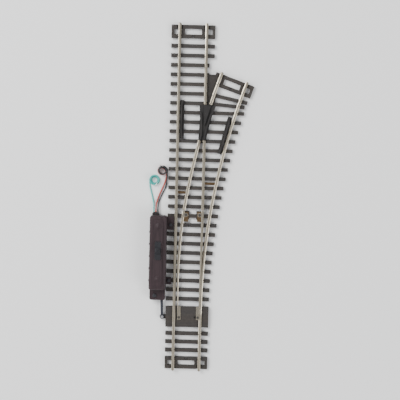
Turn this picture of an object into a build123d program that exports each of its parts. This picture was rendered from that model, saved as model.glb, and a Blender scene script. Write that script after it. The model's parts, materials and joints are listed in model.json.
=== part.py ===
from build123d import *
import math
import os

# A right-hand model railway turnout with a side-mounted switch machine.
# Millimetres. +Y runs along the straight route from the points end to the frog end, +X is the side that the
# diverging route leaves on, +Z is up, and the ties' undersides are at z = 0. The origin is the middle of the
# gauge at the points end.

# Track geometry
LENGTH = 228.6
GAUGE = 16.5
LEAD_IN = 38.1
RADIUS = 457.2
TURN = 20.0

# Rail section
RAIL_HEIGHT = 2.11
RAIL_HEAD = 0.95
RAIL_FOOT = 1.9
RAIL_WEB = 0.5
HEAD_DEPTH = 0.6
FOOT_DEPTH = 0.4

# Ties
TIE_LENGTH = 28.4
TIE_WIDTH = 2.4
TIE_TOP = 2.0
CLOSE_PITCH = 5.64
CLOSE_TIES = 8
WIDE_PITCH = 6.15
WIDE_TIES = 30
END_TIE = 2.3
NAIL_RADIUS = 0.65
WEB_WIDTH = 1.6

# Points
THROW = 1.8
TIP_Y = 38.8
HEEL_Y = 106.6
PIVOT_Y = 104.0
PIVOT_OFFSET = 1.9
TIP_INSET = 0.4
BLADE_FOOT = 1.5
BLADE_BOTTOM = 2.6
STOCK_GAP = 0.06
THROWBAR_Y = 35.9
LUG_X = 7.1

# Frog and guard rails
FROG_START = 153.3
FROG_HEEL = 176.0
FLANGEWAY = 1.25
GUARD_LENGTH = 25.0

# Switch machine
HOUSING_LEFT = -25.4
HOUSING_RIGHT = -14.4
HOUSING_NEAR = 55.0
HOUSING_FAR = 103.5
HOUSING_TOP = 10.8
WALL = 0.9
PLATE_TOP = 1.0
COIL_X = -19.8
COIL_Z = 5.9
STROKE = 5.0
DRIVE_Y = 81.0
ARM_X = -17.4
ARM_PIVOT_Y = 57.2
ARM_TAIL = 8.0
ARM_BOTTOM = 1.9
ARM_TOP = 2.7

# Leads
WIRE = 0.9
WIRE_PITCH = 1.3
WIRE_EXIT_Z = 2.0
COMB_END = 105.5

RAIL_TOP = TIE_TOP + RAIL_HEIGHT
FACE = GAUGE / 2
LINE = FACE + RAIL_HEAD / 2
INNER_RAIL = RADIUS - LINE
OUTER_RAIL = RADIUS + LINE
TIE_YS = [END_TIE + CLOSE_PITCH * k for k in range(CLOSE_TIES)]
TIE_YS += [TIE_YS[-1] + WIDE_PITCH * (m + 1) for m in range(WIDE_TIES)]
THROWBAR_TIE = TIE_YS[6]


def block(x0, x1, y0, y1, z0, z1):
    """A box between two corners."""
    return Pos((x0 + x1) / 2, (y0 + y1) / 2, (z0 + z1) / 2) * Box(x1 - x0, y1 - y0, z1 - z0)


def post(x, y, z0, z1, radius):
    """An upright cylinder."""
    return Pos(x, y, (z0 + z1) / 2) * Cylinder(radius, z1 - z0)


def bar_y(x, z, y0, y1, radius):
    """A cylinder along Y."""
    return Pos(x, (y0 + y1) / 2, z) * Rot(90, 0, 0) * Cylinder(radius, y1 - y0)


def plate(points, z0, z1):
    """A flat plate of the given outline."""
    outline = make_face(Polyline(*points, close=True))
    return Pos(0, 0, z0) * extrude(outline, amount=z1 - z0, dir=(0, 0, 1))


def slot(x, y, width, length, z0, z1, angle=0.0):
    """A round-ended slot along Y, turned by an angle, as the solid to remove."""
    outline = SlotOverall(length, width, rotation=90)
    return Pos(x, y, z0) * Rot(0, 0, angle) * extrude(outline, amount=z1 - z0)


def on_arc(radius, angle):
    """A point of the diverging route, at a radius and an angle in degrees from the lead-in."""
    turn = math.radians(angle)
    return RADIUS - radius * math.cos(turn), LEAD_IN + radius * math.sin(turn)


def angle_at(radius, y):
    """The angle in degrees at which a radius reaches a distance along the straight route."""
    return math.degrees(math.asin((y - LEAD_IN) / radius))


def curve_x(radius, y):
    """Where a rail line of the diverging route is at a distance along the straight route."""
    if y <= LEAD_IN:
        return RADIUS - radius
    return RADIUS - math.sqrt(radius**2 - (y - LEAD_IN) ** 2)


def i_section(foot, foot_depth, web, head, head_depth, height):
    """The outline of a rail: foot, web and head, centred on zero and standing on zero."""
    right = [
        (foot / 2, 0),
        (foot / 2, foot_depth),
        (web / 2, foot_depth + (foot - web) / 8),
        (web / 2, height - head_depth - 0.1),
        (head / 2, height - head_depth),
        (head / 2, height - 0.1),
        (head / 2 - 0.1, height),
    ]
    left = [(-x, z) for x, z in reversed(right)]
    return right + left


RAIL = i_section(RAIL_FOOT, FOOT_DEPTH, RAIL_WEB, RAIL_HEAD, HEAD_DEPTH, RAIL_HEIGHT)
BLADE = i_section(BLADE_FOOT, 0.35, 0.6, RAIL_HEAD, 0.65, RAIL_TOP - BLADE_BOTTOM)


def straight_run(outline, x, y0, y1, z=TIE_TOP):
    """An outline carried along +Y."""
    face = make_face(Plane.XZ * Polyline(*outline, close=True))
    return Pos(x, y0, z) * extrude(face, amount=y1 - y0, dir=(0, 1, 0))


def curved_run(outline, radius, a0, a1, z=TIE_TOP):
    """An outline carried round the diverging curve between two angles."""
    face = Pos(-radius, 0, 0) * make_face(Plane.XZ * Polyline(*outline, close=True))
    ring = revolve(face, Axis((0, 0, 0), (0, 0, -1)), revolution_arc=a1 - a0)
    return Pos(RADIUS, LEAD_IN, z) * Rot(0, 0, -a0) * ring


def rectangle(width, z0, z1):
    """An outline for a plain bar."""
    return [(width / 2, z0), (width / 2, z1), (-width / 2, z1), (-width / 2, z0)]


# Rails

def stock_rail_straight():
    return straight_run(RAIL, -LINE, 0, LENGTH)


def stock_rail_curved():
    return straight_run(RAIL, LINE, 0, LEAD_IN) + curved_run(RAIL, INNER_RAIL, 0, TURN)


RAIL_GAP = 0.5
CLOSURE_START = HEEL_Y + RAIL_GAP
CLOSURE_END = FROG_START - 0.3
FROG_RAIL_START = FROG_HEEL + 0.3


def closure_rail_straight():
    return straight_run(RAIL, LINE, CLOSURE_START, CLOSURE_END)


def closure_rail_curved():
    a0 = angle_at(OUTER_RAIL, CLOSURE_START)
    return curved_run(RAIL, OUTER_RAIL, a0, angle_at(OUTER_RAIL, CLOSURE_END))


def frog_rail_straight():
    return straight_run(RAIL, LINE, FROG_RAIL_START, LENGTH)


def frog_rail_diverging():
    return curved_run(RAIL, OUTER_RAIL, angle_at(OUTER_RAIL, FROG_RAIL_START), TURN)


# Frog: a floor, two wing rails and the V between the two gauge faces
FROG_FLOOR = TIE_TOP + 0.9
BLUNT_Y = 163.1
WING_END = 168.0
WING_FLARE = 3.5
WING_SPLAY = 0.7
THROAT_LEFT = FROG_START + 3.0
THROAT_RIGHT = FROG_START + 2.8
FLOOR_LIP = 0.5
GAUGE_LINE = RADIUS + FACE
WING_LINE = GAUGE_LINE - FLANGEWAY


def frog():
    left = curve_x(GAUGE_LINE + RAIL_HEAD, FROG_START)
    floor = plate(
        [
            (left - FLOOR_LIP, FROG_START),
            (FACE + RAIL_HEAD + FLOOR_LIP, FROG_START),
            (curve_x(WING_LINE - RAIL_HEAD, WING_END) + FLOOR_LIP, WING_END),
            (curve_x(WING_LINE - RAIL_HEAD, FROG_HEEL) + 2 * FLOOR_LIP, FROG_HEEL),
            (FACE - FLANGEWAY - RAIL_HEAD - 2 * FLOOR_LIP, FROG_HEEL),
            (FACE - FLANGEWAY - RAIL_HEAD - FLOOR_LIP, WING_END),
        ],
        TIE_TOP,
        FROG_FLOOR,
    )
    near = FACE - FLANGEWAY
    left_wing = plate(
        [
            (left, FROG_START),
            (left + RAIL_HEAD, FROG_START),
            (near, THROAT_LEFT),
            (near, WING_END),
            (near - WING_SPLAY, WING_END + WING_FLARE),
            (near - WING_SPLAY - RAIL_HEAD, WING_END + WING_FLARE),
            (near - RAIL_HEAD, WING_END),
            (near - RAIL_HEAD, THROAT_LEFT),
        ],
        FROG_FLOOR,
        RAIL_TOP,
    )
    wing_x = curve_x(WING_LINE, WING_END)
    flare_x = curve_x(WING_LINE, WING_END + WING_FLARE) + WING_SPLAY
    right_wing = plate(
        [
            (FACE, FROG_START),
            (FACE, THROAT_RIGHT),
            (wing_x, WING_END),
            (flare_x, WING_END + WING_FLARE),
            (flare_x + RAIL_HEAD, WING_END + WING_FLARE),
            (wing_x + RAIL_HEAD, WING_END),
            (FACE + RAIL_HEAD, THROAT_RIGHT),
            (FACE + RAIL_HEAD, FROG_START),
        ],
        FROG_FLOOR,
        RAIL_TOP,
    )
    vee = plate(
        [
            (FACE, BLUNT_Y),
            (FACE, FROG_HEEL),
            (curve_x(GAUGE_LINE, FROG_HEEL), FROG_HEEL),
            (curve_x(GAUGE_LINE, BLUNT_Y), BLUNT_Y),
        ],
        FROG_FLOOR,
        RAIL_TOP,
    )
    return floor + left_wing + right_wing + vee


# Guard rails: a flanged check rail with flared ends
GUARD_FOOT = 1.9
GUARD_FLARE = 4.0
GUARD_SPLAY = 0.8
GUARD_CENTRE_LEFT = 166.5
GUARD_CENTRE_RIGHT = 156.0


def guard_rail():
    """A guard rail beside a stock rail's gauge face at x = 0, with its middle at y = 0."""
    half = GUARD_LENGTH / 2
    inner = FLANGEWAY
    outer = inner + RAIL_HEAD
    head = plate(
        [
            (inner + GUARD_SPLAY, -half),
            (inner, GUARD_FLARE - half),
            (inner, half - GUARD_FLARE),
            (inner + GUARD_SPLAY, half),
            (outer + GUARD_SPLAY, half),
            (outer, half - GUARD_FLARE),
            (outer, GUARD_FLARE - half),
            (outer + GUARD_SPLAY, -half),
        ],
        TIE_TOP,
        RAIL_TOP,
    )
    foot = block(inner - 0.55, inner - 0.55 + GUARD_FOOT + 0.9, -half, half, TIE_TOP, TIE_TOP + 0.5)
    return head + foot


def guard_rail_left():
    return Pos(-FACE, GUARD_CENTRE_LEFT, 0) * guard_rail()


def guard_rail_right():
    radius = RADIUS - FACE
    angle = angle_at(radius, GUARD_CENTRE_RIGHT)
    mirrored = Pos(RADIUS, LEAD_IN, 0) * Rot(0, 0, -angle) * Pos(-radius, 0, 0)
    return mirrored * mirror(guard_rail(), about=Plane.YZ)


# Point rails: planed blades that lie against the stock rails, each with a pivot lug and a tip lug
PIVOT_LEFT = (curve_x(OUTER_RAIL, PIVOT_Y) + PIVOT_OFFSET, PIVOT_Y)
PIVOT_RIGHT = (LINE - PIVOT_OFFSET, PIVOT_Y)
BLADE_LENGTH = HEEL_Y - TIP_Y
INSET_ANGLE = math.degrees(TIP_INSET / BLADE_LENGTH)
POINT_ANGLE = math.degrees(THROW / (PIVOT_Y - THROWBAR_Y))
LUG_TOP = BLADE_BOTTOM + 0.4
LUG_WIDTH = 2.2
RIVET_RADIUS = 0.6
PIN_RADIUS = 0.5
PIN_CLEARANCE = 0.08


def lugs(pivot, blade_x, tip_x):
    """The flat lugs under a blade: one round the heel pivot and one out to the throwbar."""
    x, y = pivot
    heel = block(min(x, blade_x), max(x, blade_x), y - 1.3, y + 1.3, BLADE_BOTTOM, LUG_TOP)
    eye = post(x, y, BLADE_BOTTOM, LUG_TOP, 1.3)
    half = LUG_WIDTH / 2
    tongue = block(tip_x - half, tip_x + half, THROWBAR_Y - 1.5, TIP_Y + 4.5, BLADE_BOTTOM, LUG_TOP)
    return heel + eye + tongue


def lug_holes(pivot, tip_x):
    x, y = pivot
    eye = post(x, y, 0, RAIL_TOP, RIVET_RADIUS + 0.05)
    return eye + slot(tip_x, THROWBAR_Y, 2 * (PIN_RADIUS + PIN_CLEARANCE), 1.8, 0, LUG_TOP + 0.1)


def turned(shape, point, angle):
    """A shape turned about an upright axis through a point."""
    x, y = point
    return Pos(x, y, 0) * Rot(0, 0, angle) * Pos(-x, -y, 0) * shape


def point_rail_straight():
    """The right point, shut against the curved stock rail."""
    blade = straight_run(BLADE, LINE, TIP_Y, HEEL_Y, BLADE_BOTTOM)
    blade = turned(blade, (LINE, HEEL_Y), -INSET_ANGLE)
    body = blade + lugs(PIVOT_RIGHT, LINE, LUG_X)
    stock = Pos(RADIUS, LEAD_IN, RAIL_TOP) * Cylinder(RADIUS - FACE + STOCK_GAP, RAIL_TOP)
    lead = block(FACE - STOCK_GAP, 2 * FACE, 0, LEAD_IN + 0.1, 0, 2 * RAIL_TOP)
    return body - stock - lead - lug_holes(PIVOT_RIGHT, LUG_X)


def point_rail_curved():
    """The left point, made shut against the straight stock rail and then opened."""
    a0 = angle_at(OUTER_RAIL, TIP_Y)
    a1 = angle_at(OUTER_RAIL, HEEL_Y)
    blade = curved_run(BLADE, OUTER_RAIL, a0, a1, BLADE_BOTTOM)
    heel_x = curve_x(OUTER_RAIL, HEEL_Y)
    blade = turned(blade, (heel_x, HEEL_Y), INSET_ANGLE)
    body = blade + lugs(PIVOT_LEFT, curve_x(OUTER_RAIL, PIVOT_Y), -LUG_X)
    stock = block(-2 * FACE, STOCK_GAP - FACE, 0, LENGTH, 0, 2 * RAIL_TOP)
    shut = body - stock - lug_holes(PIVOT_LEFT, -LUG_X)
    return turned(shut, PIVOT_LEFT, POINT_ANGLE)


# Heel plates and rivets: the fixed pivots of the points
PLATE_WIDTH = 3.2
RIVET_BOTTOM = 0.6
HEEL_PLATE_TOP = TIE_TOP + 0.5


def heel_plate(pivot):
    x, y = pivot
    half = PLATE_WIDTH / 2
    body = block(x - half, x + half, y - 4.5, y + 2.0, TIE_TOP, HEEL_PLATE_TOP)
    return body - post(x, y, 0, RAIL_TOP, RIVET_RADIUS + 0.02)


def heel_rivet(pivot):
    x, y = pivot
    shank = post(x, y, RIVET_BOTTOM, LUG_TOP + 0.05, RIVET_RADIUS)
    head = post(x, y, LUG_TOP + 0.05, LUG_TOP + 0.35, 0.95)
    return shank + head


# Throwbar, with the pins that the points and the arm ride on
BAR_BOTTOM = 0.2
BAR_TOP = 1.6
BAR_WIDTH = 2.6
ARM_PIN_X = ARM_X + THROW / 2
BAR_LEFT = ARM_PIN_X - 1.5
BAR_RIGHT = 13.6
OPEN_LEFT_X = THROW - LUG_X


def throwbar():
    half = BAR_WIDTH / 2
    y = THROWBAR_Y
    body = block(BAR_LEFT, BAR_RIGHT, y - half, y + half, BAR_BOTTOM, BAR_TOP)
    ends = body.edges().filter_by(Axis.Z)
    body = fillet(ends, 0.6)
    for x in (OPEN_LEFT_X, LUG_X, ARM_PIN_X):
        body -= post(x, y, 0.5, BAR_TOP + 0.1, PIN_RADIUS)
    return body


def point_pins():
    """The two pins that stand up from the throwbar through the points' lugs."""
    pins = []
    for x in (OPEN_LEFT_X, LUG_X):
        shank = post(x, THROWBAR_Y, 0.5, LUG_TOP + 0.03, PIN_RADIUS)
        pins.append(shank + post(x, THROWBAR_Y, LUG_TOP + 0.03, LUG_TOP + 0.23, 0.85))
    return Compound(pins)


def arm_pin():
    """The pin that the machine's arm pushes the throwbar by."""
    shank = post(ARM_PIN_X, THROWBAR_Y, 0.5, ARM_TOP + 0.1, PIN_RADIUS)
    return shank + post(ARM_PIN_X, THROWBAR_Y, ARM_TOP + 0.1, ARM_TOP + 0.4, 0.95)


# Tie strip
TIE_HALF = TIE_LENGTH / 2
TIE_PAST_RAIL = 5.5
FAN_START = 176.0
FAN_HINGE_X = 11.0
FAN_TIES = [(CLOSE_TIES + 21, 5.0, 23.6), (CLOSE_TIES + 22, 12.0, 25.7)]
CROPPED_TIES = [CLOSE_TIES + 23, CLOSE_TIES + 24, CLOSE_TIES + 25]
RING_PITCH = 5.9
RING_ANGLES = [TURN - math.degrees(END_TIE / RADIUS), TURN - math.degrees((END_TIE + RING_PITCH) / RADIUS)]
RING_INNER = RADIUS - TIE_HALF
RING_OUTER = RADIUS + 12.2
END_WEB_IN = 6.4
END_WEB_OUT = 13.3
END_WEB = 1.8
GORE = [(10.0, 176.5), (15.0, 176.5), (17.4, 195.9), (10.0, 195.9)]
GORE_TOP = 1.7
HEADBLOCK = (29.3, 43.0)
HEADBLOCK_TOP = TIE_TOP + 0.5
FEEDER_GAPS = (CLOSE_TIES + 11, CLOSE_TIES + 12)
JOINER_HALF = 1.7
JOINER_FLOOR = 1.4
NAIL_TIES = (1, CLOSE_TIES + 8, CLOSE_TIES + 28)
SCREW_POINTS = [(-12.0, TIE_YS[CLOSE_TIES + 8]), (-12.6, TIE_YS[CLOSE_TIES + 2])]
SCREW_RADIUS = 0.5


def feeder_y(index):
    return (TIE_YS[index] + TIE_YS[index + 1]) / 2


def tie(x0, x1, y):
    half = TIE_WIDTH / 2
    return block(x0, x1, y - half, y + half, 0, TIE_TOP)


def radial_bar(angle, r0, r1, width, z0, z1):
    """A bar that points at the centre of the diverging curve."""
    bar = block(-r1, -r0, -width / 2, width / 2, z0, z1)
    return Pos(RADIUS, LEAD_IN, 0) * Rot(0, 0, -angle) * bar


def sleepers():
    """Every tie of the strip."""
    pieces = []
    short = [index for index, angle, length in FAN_TIES] + CROPPED_TIES
    for index, y in enumerate(TIE_YS):
        if y == THROWBAR_TIE:
            continue
        if index in short:
            right = FAN_HINGE_X
        elif y > FAN_START:
            right = TIE_HALF
        else:
            right = curve_x(INNER_RAIL, y) + TIE_PAST_RAIL
        pieces.append(tie(-TIE_HALF, right, y))
    for index, angle, length in FAN_TIES:
        arm = block(-1.0, length, -TIE_WIDTH / 2, TIE_WIDTH / 2, 0, TIE_TOP)
        pieces.append(Pos(FAN_HINGE_X, TIE_YS[index], 0) * Rot(0, 0, -angle) * arm)
    for angle in RING_ANGLES:
        pieces.append(radial_bar(angle, RING_INNER, RING_OUTER, TIE_WIDTH, 0, TIE_TOP))
    return pieces


def webs():
    """The low webs under the rails and the taller ones that close the end ties into rings."""
    low = rectangle(WEB_WIDTH, 0.3, 1.3)
    first = TIE_YS[0]
    last = TIE_YS[-1]
    split = HEEL_Y + 2.0
    pieces = [
        straight_run(low, -LINE, first, last, 0),
        straight_run(low, LINE, first, LEAD_IN, 0),
        straight_run(low, LINE, split, last, 0),
        curved_run(low, INNER_RAIL, 0, RING_ANGLES[0], 0),
        curved_run(low, OUTER_RAIL, angle_at(OUTER_RAIL, split), RING_ANGLES[0], 0),
    ]
    for near, far in ((TIE_YS[0], TIE_YS[1]), (TIE_YS[-2], TIE_YS[-1])):
        for x in (-END_WEB_OUT, -END_WEB_IN, END_WEB_IN, END_WEB_OUT):
            pieces.append(block(x - END_WEB / 2, x + END_WEB / 2, near, far, 0, TIE_TOP))
    tall = rectangle(END_WEB, 0, TIE_TOP)
    for offset in (-END_WEB_OUT, -END_WEB_IN, END_WEB_IN):
        pieces.append(curved_run(tall, RADIUS + offset, RING_ANGLES[1], RING_ANGLES[0], 0))
    pieces.append(plate(GORE, 0, GORE_TOP))
    return pieces


def slide_pads():
    """The raised pads that the point rails slide over."""
    pieces = [block(-TIE_HALF, TIE_HALF, HEADBLOCK[0], HEADBLOCK[1], 1.8, HEADBLOCK_TOP)]
    edge = LINE - RAIL_FOOT / 2 - 0.1
    for y in TIE_YS[CLOSE_TIES : CLOSE_TIES + 9]:
        left = curve_x(OUTER_RAIL, y)
        stock = curve_x(INNER_RAIL, y) - RAIL_FOOT / 2 - 0.1
        spans = [(max(left - 0.9, -edge), left + 2.8), (LINE - 2.8, min(LINE + 0.9, stock))]
        for x0, x1 in spans:
            pieces.append(block(x0, x1, y - 1.2, y + 1.2, TIE_TOP, HEADBLOCK_TOP))
    for x, y in (PIVOT_LEFT, PIVOT_RIGHT):
        pieces.append(block(x - 2.2, x + 2.2, y - 3.0, y + 2.5, 0, TIE_TOP))
    return pieces


def tie_strip():
    pieces = sleepers() + webs() + slide_pads()
    body = pieces[0].fuse(*pieces[1:])
    cuts = []
    for x in (-LINE, LINE):
        cuts.append(block(x - 1.05, x + 1.05, HEADBLOCK[0] - 1, HEADBLOCK[1] + 1, TIE_TOP, RAIL_TOP))
        left, right = x - JOINER_HALF, x + JOINER_HALF
        cuts.append(block(left, right, -1, 2 * END_TIE, JOINER_FLOOR, RAIL_TOP))
        cuts.append(block(left, right, LENGTH - 2 * END_TIE, LENGTH + 1, JOINER_FLOOR, RAIL_TOP))
    for radius in (INNER_RAIL, OUTER_RAIL):
        inner, outer = radius - JOINER_HALF, radius + JOINER_HALF
        cuts.append(radial_bar(RING_ANGLES[0], inner, outer, 1.1 * TIE_WIDTH, JOINER_FLOOR, RAIL_TOP))
    bar = (THROWBAR_Y - 1.7, THROWBAR_Y + 1.7)
    cuts.append(block(-2 * TIE_HALF, 2 * TIE_HALF, bar[0], bar[1], -1, 1.8))
    for x in (OPEN_LEFT_X - THROW / 2, LUG_X - THROW / 2):
        wide = THROW + 2 * (PIN_RADIUS + 0.12)
        cuts.append(block(x - wide / 2, x + wide / 2, THROWBAR_Y - 0.7, THROWBAR_Y + 0.7, 1, 3))
    for side, index in ((-1, FEEDER_GAPS[0]), (1, FEEDER_GAPS[1])):
        y = feeder_y(index)
        stock, closure = feeder_ends(side, y)
        x0, x1 = sorted((stock, closure))
        cuts.append(block(x0 - 1.0, x1 + 1.0, y - 1.3, y + 1.3, -1, TIE_TOP))
    nails = [(0, TIE_YS[index]) for index in NAIL_TIES] + [on_arc(RADIUS, RING_ANGLES[1])]
    for x, y in nails:
        cuts.append(post(x, y, -1, 3, NAIL_RADIUS))
    for x, y in SCREW_POINTS:
        cuts.append(post(x, y, 0.4, 3, SCREW_RADIUS))
    for x, y in (PIVOT_LEFT, PIVOT_RIGHT):
        cuts.append(post(x, y, RIVET_BOTTOM, 3, RIVET_RADIUS))
    return body.cut(*cuts)


# Feeder strips: the bent metal links under the ties that join each closure rail to its stock rail

def feeder_ends(side, y):
    """Where a feeder meets the stock rail and the closure rail of its side."""
    if side < 0:
        return -LINE, curve_x(OUTER_RAIL, y)
    return curve_x(INNER_RAIL, y), LINE


def feeder_strip(side, index):
    y = feeder_y(index)
    x0, x1 = sorted(feeder_ends(side, y))
    link = block(x0 - 0.5, x1 + 0.5, y - 0.8, y + 0.8, 0.4, 0.7)
    for x in (x0, x1):
        link += block(x - 0.5, x + 0.5, y - 0.8, y + 0.8, 0.4, TIE_TOP)
    return link


# Switch machine
COIL_A = (66.9, 79.9)
COIL_B = (87.1, 100.1)
FLANGE_HALF = 3.9
FLANGE_THICK = 0.8
BORE = 1.58
PLUNGER_RADIUS = 1.5
PLUNGER_HALF = 10.0
RIDGE_TOP = HOUSING_TOP + 0.5
RIDGE = (-22.8, -16.8, 57.5, 101.0)
KNOB_BOTTOM = RIDGE_TOP + 0.1
SLIDE_BOTTOM = PLATE_TOP + 0.05
SLIDE_TOP = PLATE_TOP + 0.85
TONGUE = (-25.0, -14.8, 47.6)
ARM_SIDE = -19.2
TONGUE_TOP = 5.2
TONGUE_SCREW = (-21.6, 50.6)
NEAR_BOSS = (-23.1, 57.4)
FAR_BOSS = (-16.5, 101.5)
ARM_ANGLE = math.degrees(THROW / (ARM_PIVOT_Y - THROWBAR_Y))
COMB = (-24.3, -19.7, 101.8)
COMB_TOP = 3.4
FLANGE_Z = (TIE_TOP + 0.05, TIE_TOP + 1.05)
FAR_FLANGE = (HOUSING_RIGHT - 0.5, -9.9, 94.0, 102.6)
NEAR_FLANGE = (HOUSING_RIGHT - 0.5, -10.9, 57.8, 62.6)
ARM_GATE = (-20.4, -15.4, ARM_TOP + 0.4)
PIN_SLOT = 0.75
WIRE_XS = [-23.3 + WIRE_PITCH * k for k in range(3)]


def machine_base_plate():
    inset = 0.2
    sides = (HOUSING_LEFT + inset, HOUSING_RIGHT - inset)
    body = block(*sides, HOUSING_NEAR, HOUSING_FAR - inset, 0, PLATE_TOP)
    body = fillet(body.edges().filter_by(Axis.Z), 0.8)
    lip = block(TONGUE[0] + inset, ARM_SIDE - inset, TONGUE[2] + inset, HOUSING_NEAR + 2, 0, PLATE_TOP)
    body += fillet(lip.edges().filter_by(Axis.Z), 0.8)
    body += post(ARM_X, ARM_PIVOT_Y, PLATE_TOP, ARM_BOTTOM - 0.05, 1.2)
    body -= post(ARM_X, ARM_PIVOT_Y, 0.2, RAIL_TOP, 0.7)
    for x, y in (NEAR_BOSS, FAR_BOSS):
        body -= post(x, y, -1, PLATE_TOP + 1, 0.75)
        body -= post(x, y, -1, 0.55, 1.2)
    return body - post(*TONGUE_SCREW, 0.3, PLATE_TOP + 1, 0.6)


def machine_housing():
    """The moulded cover: a shell with a ridge, an end step bridging the arm, and two flanges."""
    body = block(HOUSING_LEFT, HOUSING_RIGHT, HOUSING_NEAR, HOUSING_FAR, PLATE_TOP, HOUSING_TOP)
    body = fillet(body.edges().filter_by(Axis.Z), 1.4)
    body = chamfer(body.faces().sort_by(Axis.Z)[-1].edges(), 0.6)
    ridge = block(*RIDGE, HOUSING_TOP, RIDGE_TOP)
    ridge = fillet(ridge.edges().filter_by(Axis.Z), 1.2)
    tongue = block(*TONGUE, HOUSING_NEAR + WALL, PLATE_TOP, TONGUE_TOP)
    corners = tongue.edges().filter_by(Axis.Z).sort_by(Axis.Y)[:2]
    tongue = fillet(corners, 1.2)
    tongue -= block(ARM_SIDE, TONGUE[1] + 1, TONGUE[2] - 1, HOUSING_NEAR + WALL + 1, 0, ARM_GATE[2])
    body = body + ridge + tongue
    cavity = block(
        HOUSING_LEFT + WALL,
        HOUSING_RIGHT - WALL,
        HOUSING_NEAR + WALL,
        HOUSING_FAR - WALL,
        0,
        HOUSING_TOP - WALL,
    )
    body -= cavity
    for x, y in (NEAR_BOSS, FAR_BOSS):
        body += post(x, y, PLATE_TOP, HOUSING_TOP - WALL, 1.3)
    body += block(*FAR_FLANGE, *FLANGE_Z)
    body += block(*NEAR_FLANGE, *FLANGE_Z)
    slot_y = (DRIVE_Y - PIN_SLOT, DRIVE_Y + STROKE + PIN_SLOT)
    body -= block(COIL_X - PIN_SLOT, COIL_X + PIN_SLOT, *slot_y, COIL_Z, KNOB_BOTTOM)
    gate_y = (HOUSING_NEAR - 1, HOUSING_NEAR + WALL + 0.1)
    body -= block(ARM_GATE[0], ARM_GATE[1], *gate_y, 0, ARM_GATE[2])
    body -= block(COMB[0], COMB[1], COMB[2], HOUSING_FAR + 1, 0, COMB_TOP)
    for x, y in (NEAR_BOSS, FAR_BOSS):
        body -= post(x, y, 0, 5.0, 0.6)
    body -= post(*TONGUE_SCREW, 0, TONGUE_TOP + 1, 0.7)
    for x, y in SCREW_POINTS:
        body -= post(x, y, 0, 4, SCREW_RADIUS + 0.1)
    return body


def coil_bobbin(coil):
    y0, y1 = coil
    body = bar_y(COIL_X, COIL_Z, y0, y1, BORE + 0.4)
    for start in (y0, y1 - FLANGE_THICK):
        flange = block(-24.1, -15.7, start, start + FLANGE_THICK, PLATE_TOP, COIL_Z + FLANGE_HALF)
        body += flange - block(-21.4, -15.0, start - 1, start + 2, 0, COIL_Z - FLANGE_HALF)
    return body - bar_y(COIL_X, COIL_Z, y0 - 1, y1 + 1, BORE)


def coil_winding(coil):
    y0, y1 = coil[0] + FLANGE_THICK, coil[1] - FLANGE_THICK
    return bar_y(COIL_X, COIL_Z, y0, y1, 3.6) - bar_y(COIL_X, COIL_Z, y0 - 1, y1 + 1, BORE + 0.4)


def plunger():
    body = bar_y(COIL_X, COIL_Z, DRIVE_Y - PLUNGER_HALF, DRIVE_Y + PLUNGER_HALF, PLUNGER_RADIUS)
    body = chamfer(body.edges().filter_by(GeomType.CIRCLE), 0.3)
    return body - post(COIL_X, DRIVE_Y, 0, 12, RIVET_RADIUS)


def drive_pin():
    return post(COIL_X, DRIVE_Y, SLIDE_BOTTOM, KNOB_BOTTOM + 1.0, RIVET_RADIUS)


def throw_knob():
    y = DRIVE_Y
    skirt = block(COIL_X - 2.0, COIL_X + 2.0, y - 6.0, y + 6.0, KNOB_BOTTOM, KNOB_BOTTOM + 0.5)
    skirt = fillet(skirt.edges().filter_by(Axis.Z), 1.0)
    grip = block(COIL_X - 1.6, COIL_X + 1.6, y - 1.7, y + 1.7, KNOB_BOTTOM + 0.5, KNOB_BOTTOM + 1.9)
    grip = chamfer(grip.faces().sort_by(Axis.Z)[-1].edges(), 0.3)
    for step in (-1.0, 0.0, 1.0):
        grip -= block(-23, -17, y + step - 0.2, y + step + 0.2, KNOB_BOTTOM + 1.6, KNOB_BOTTOM + 3)
    return skirt + grip - post(COIL_X, y, 0, KNOB_BOTTOM + 1.0, RIVET_RADIUS)


def drive_slide():
    """The flat slide whose slanted slot swings the arm as the plunger moves."""
    half = math.radians(ARM_ANGLE / 2)
    shift = 2 * ARM_TAIL * math.sin(half)
    y = ARM_PIVOT_Y + ARM_TAIL * math.cos(half)
    head = block(ARM_X - 2.0, ARM_X + 1.8, y - STROKE - 1.4, y + 1.3, SLIDE_BOTTOM, SLIDE_TOP)
    bar = block(COIL_X - 1.3, COIL_X + 1.3, y - 1.5, DRIVE_Y + 1.6, SLIDE_BOTTOM, SLIDE_TOP)
    body = head + bar - post(COIL_X, DRIVE_Y, 0, 3, RIVET_RADIUS)
    slant = math.degrees(math.atan2(shift, STROKE))
    run = math.hypot(shift, STROKE) + 2 * PIN_RADIUS + 0.3
    return body - slot(ARM_X, y - STROKE / 2, 2 * PIN_RADIUS + 0.2, run, 0, 3, slant)


def at_rest(shape):
    """The arm's shapes are drawn straight and then turned to the straight-route side."""
    return turned(shape, (ARM_X, ARM_PIVOT_Y), ARM_ANGLE / 2)


def throw_arm():
    half = 0.9
    bar = block(ARM_X - half, ARM_X + half, THROWBAR_Y, ARM_PIVOT_Y + ARM_TAIL, ARM_BOTTOM, ARM_TOP)
    body = bar + post(ARM_X, THROWBAR_Y, ARM_BOTTOM, ARM_TOP, 1.5)
    body += post(ARM_X, ARM_PIVOT_Y, ARM_BOTTOM, ARM_TOP, 1.6)
    body += post(ARM_X, ARM_PIVOT_Y + ARM_TAIL, ARM_BOTTOM, ARM_TOP, 0.9)
    body -= post(ARM_X, ARM_PIVOT_Y, 0, 4, 0.75)
    body -= post(ARM_X, ARM_PIVOT_Y + ARM_TAIL, 0, 4, PIN_RADIUS)
    body -= slot(ARM_X, THROWBAR_Y, 2 * (PIN_RADIUS + PIN_CLEARANCE), 1.4, 0, 4)
    return at_rest(body)


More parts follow.
